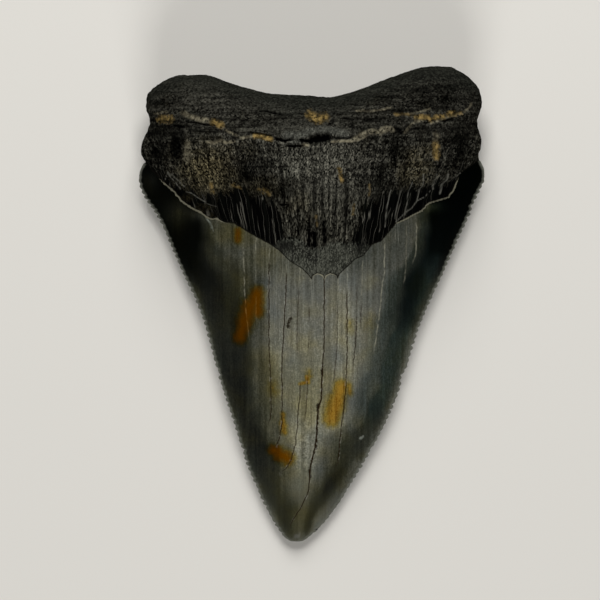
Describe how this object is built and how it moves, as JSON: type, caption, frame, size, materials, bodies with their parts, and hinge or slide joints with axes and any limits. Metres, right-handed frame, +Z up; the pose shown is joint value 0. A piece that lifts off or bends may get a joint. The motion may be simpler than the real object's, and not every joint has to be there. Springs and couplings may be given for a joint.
{
  "type": "fossil shark tooth",
  "caption": "Broad triangular fossil shark tooth with a two-lobed root, a dark V-shaped neck band and a grey crown with finely serrated edges, lying flat with its bulging inner face up.",
  "frame": {"origin": "middle of the tooth's outline, on the surface it rests on", "axes": "+Z up from the flat outer face through the bulging inner face, +Y from the crown's tip to the root, +X to the right as seen from above with the root away from the viewer"},
  "size_m": [0.0552, 0.076, 0.0163],
  "materials": {
    "fossil": "smooth satin enamel on the crown, matte porous root, glossy black neck band"
  },
  "bodies": {
    "root": {"tooth": "fossil"}
  },
  "joints": []
}
